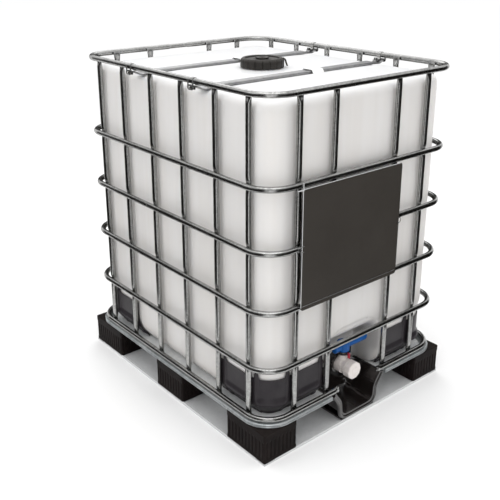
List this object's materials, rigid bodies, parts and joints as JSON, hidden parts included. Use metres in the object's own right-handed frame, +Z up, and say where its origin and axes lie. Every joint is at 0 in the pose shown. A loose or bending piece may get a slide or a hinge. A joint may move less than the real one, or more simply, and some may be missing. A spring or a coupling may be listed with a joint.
{
  "type": "intermediate bulk container",
  "caption": "Translucent plastic bulk bottle in a welded steel tube cage on a fork-entry pallet, with a screw filling cap and a butterfly outlet valve with a lever and outlet cap.",
  "frame": {"origin": "centre of the pallet's underside, on the floor", "axes": "+Z up; the outlet valve and the marking plate face -Y; the long sides run along Y and face -X and +X"},
  "size_m": [1, 1.2, 1.35],
  "materials": {
    "galvanised_steel": "hot-dip galvanised, with a soft spangle",
    "natural_hdpe": "blow-moulded natural polyethylene, cloudy and slightly see-through",
    "black_plastic": "moulded black plastic with a soft gloss",
    "white_plastic": "moulded off-white plastic",
    "blue_plastic": "moulded blue plastic",
    "plate_coating": "dark matt coating on sheet steel",
    "seal_rubber": "matt seal rubber"
  },
  "bodies": {
    "container": {"base_frame": "galvanised_steel", "deck_pan": "galvanised_steel", "cage_hoop_1": "galvanised_steel", "cage_hoop_2": "galvanised_steel", "cage_hoop_3": "galvanised_steel", "cage_hoop_4": "galvanised_steel", "base_rail": "galvanised_steel", "top_rail": "galvanised_steel", "upright_left_1": "galvanised_steel", "upright_left_2": "galvanised_steel", "upright_left_3": "galvanised_steel", "upright_left_4": "galvanised_steel", "upright_left_5": "galvanised_steel", "upright_left_6": "galvanised_steel", "upright_right_1": "galvanised_steel", "upright_right_2": "galvanised_steel", "upright_right_3": "galvanised_steel", "upright_right_4": "galvanised_steel", "upright_right_5": "galvanised_steel", "upright_right_6": "galvanised_steel", "upright_front_1": "galvanised_steel", "upright_front_2": "galvanised_steel", "upright_front_3": "galvanised_steel", "upright_front_4": "galvanised_steel", "upright_back_1": "galvanised_steel", "upright_back_2": "galvanised_steel", "upright_back_3": "galvanised_steel", "upright_back_4": "galvanised_steel", "crossbar_front": "galvanised_steel", "crossbar_back": "galvanised_steel", "bar_clamp_front_left": "galvanised_steel", "bar_clamp_front_right": "galvanised_steel", "bar_clamp_back_left": "galvanised_steel", "bar_clamp_back_right": "galvanised_steel", "foot_front_left": "black_plastic", "foot_front_right": "black_plastic", "foot_back_left": "black_plastic", "foot_back_right": "black_plastic", "foot_side_left": "black_plastic", "foot_side_right": "black_plastic", "foot_back_middle": "black_plastic", "valve_guard": "black_plastic", "corner_guard_front_left": "black_plastic", "corner_guard_front_right": "black_plastic", "corner_guard_back_left": "black_plastic", "corner_guard_back_right": "black_plastic", "union_nut": "black_plastic", "handle_collar": "black_plastic", "bottle": "natural_hdpe", "bottle_neck": "natural_hdpe", "bottle_recess": "natural_hdpe", "marking_plate": "plate_coating", "valve_body": "white_plastic"},
    "cap_lift": {"cap_seal": "seal_rubber"},
    "cap": {"filling_cap": "black_plastic"},
    "vent": {"vent_plug": "black_plastic"},
    "valve_lever": {"valve_handle": "blue_plastic", "valve_disc": "white_plastic"},
    "outlet_cap_travel": {"outlet_seal": "seal_rubber"},
    "outlet_cap": {"outlet_cap": "white_plastic"}
  },
  "joints": [
    {"name": "cap_rise", "type": "slide", "parent": "container", "child": "cap_lift", "axis": [0, 0, 1], "range_m": [0, 0.027]},
    {"name": "cap_turn", "type": "hinge", "parent": "cap_lift", "child": "cap", "pos_m": [0, 0, 1.3105], "axis": [0, 0, 1], "range_deg": [0, 1080]},
    {"name": "vent_turn", "type": "hinge", "parent": "cap", "child": "vent", "pos_m": [0, 0, 1.3105], "axis": [0, 0, 1], "range_deg": [0, 90]},
    {"name": "lever_turn", "type": "hinge", "parent": "container", "child": "valve_lever", "pos_m": [0, -0.5, 0.1808], "axis": [0, 0, -1], "range_deg": [0, 90]},
    {"name": "outlet_cap_out", "type": "slide", "parent": "container", "child": "outlet_cap_travel", "axis": [0, -1, 0], "range_m": [0, 0.018]},
    {"name": "outlet_cap_turn", "type": "hinge", "parent": "outlet_cap_travel", "child": "outlet_cap", "pos_m": [0, -0.556, 0.1808], "axis": [0, -1, 0], "range_deg": [0, 1080]}
  ],
  "couplings": [
    {"joint": "cap_rise", "follows": "cap_turn", "m_per_rad": 0.0014323},
    {"joint": "outlet_cap_out", "follows": "outlet_cap_turn", "m_per_rad": 0.00095489}
  ]
}
